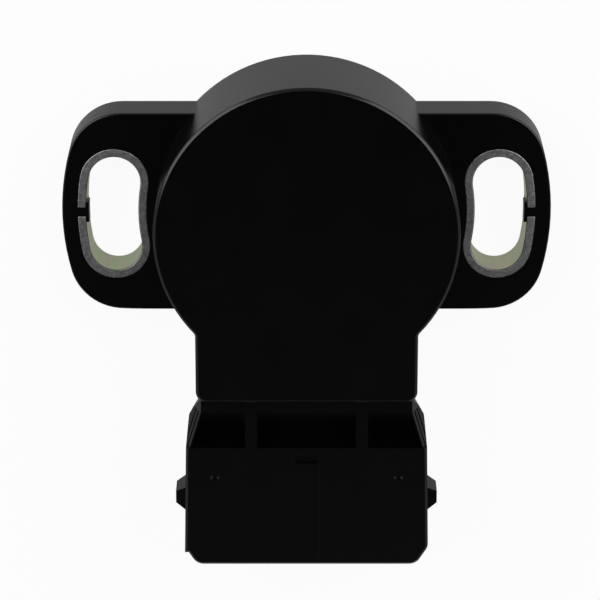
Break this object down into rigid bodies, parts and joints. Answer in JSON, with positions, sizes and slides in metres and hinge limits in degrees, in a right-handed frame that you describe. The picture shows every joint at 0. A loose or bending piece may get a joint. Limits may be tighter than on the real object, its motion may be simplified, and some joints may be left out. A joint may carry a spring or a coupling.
{
  "type": "throttle position sensor",
  "caption": "Moulded rotary position sensor with slotted ears, a plug socket at one end and a spring-returned rotor that takes the end of a throttle shaft",
  "frame": {"origin": "where the axis of the throttle shaft meets the mounting face", "axes": "Z runs out through the front face along the shaft, X runs from ear to ear, the plug socket points along -Y"},
  "size_m": [0.057, 0.0591, 0.0148],
  "materials": {
    "housing_plastic": "satin moulded",
    "plated_steel": "yellow zinc plated",
    "cover_plastic": "fine moulded",
    "sealant": "cured bead",
    "seal_rubber": "matte",
    "rotor_plastic": "moulded",
    "washer_steel": "ground",
    "contact_alloy": "rolled",
    "spring_steel": "rolled",
    "track_board": "laminate",
    "carbon_ink": "printed",
    "silver_ink": "printed",
    "tinned_brass": "tin plated"
  },
  "bodies": {
    "sensor_body": {"housing": "housing_plastic", "slot_bushing_left": "plated_steel", "slot_bushing_right": "plated_steel", "rear_cover": "cover_plastic", "cover_sealant": "sealant", "shaft_seal": "seal_rubber", "return_spring": "spring_steel", "track_plate": "track_board", "resistor_track": "carbon_ink", "signal_track": "silver_ink", "idle_track": "silver_ink", "supply_lead": "silver_ink", "ground_lead": "silver_ink", "terminal_supply": "tinned_brass", "terminal_signal": "tinned_brass", "terminal_idle": "tinned_brass", "terminal_ground": "tinned_brass"},
    "rotor_group": {"rotor": "rotor_plastic", "thrust_washer": "washer_steel", "wiper": "contact_alloy"}
  },
  "joints": [
    {"name": "rotor_turn", "type": "hinge", "parent": "sensor_body", "child": "rotor_group", "pos_m": [0, 0, 0], "axis": [0, 0, 1], "range_deg": [0, 100], "stiffness_Nm_per_rad": 0.01, "springref_deg": -28.65, "deforming": ["return_spring"]}
  ]
}
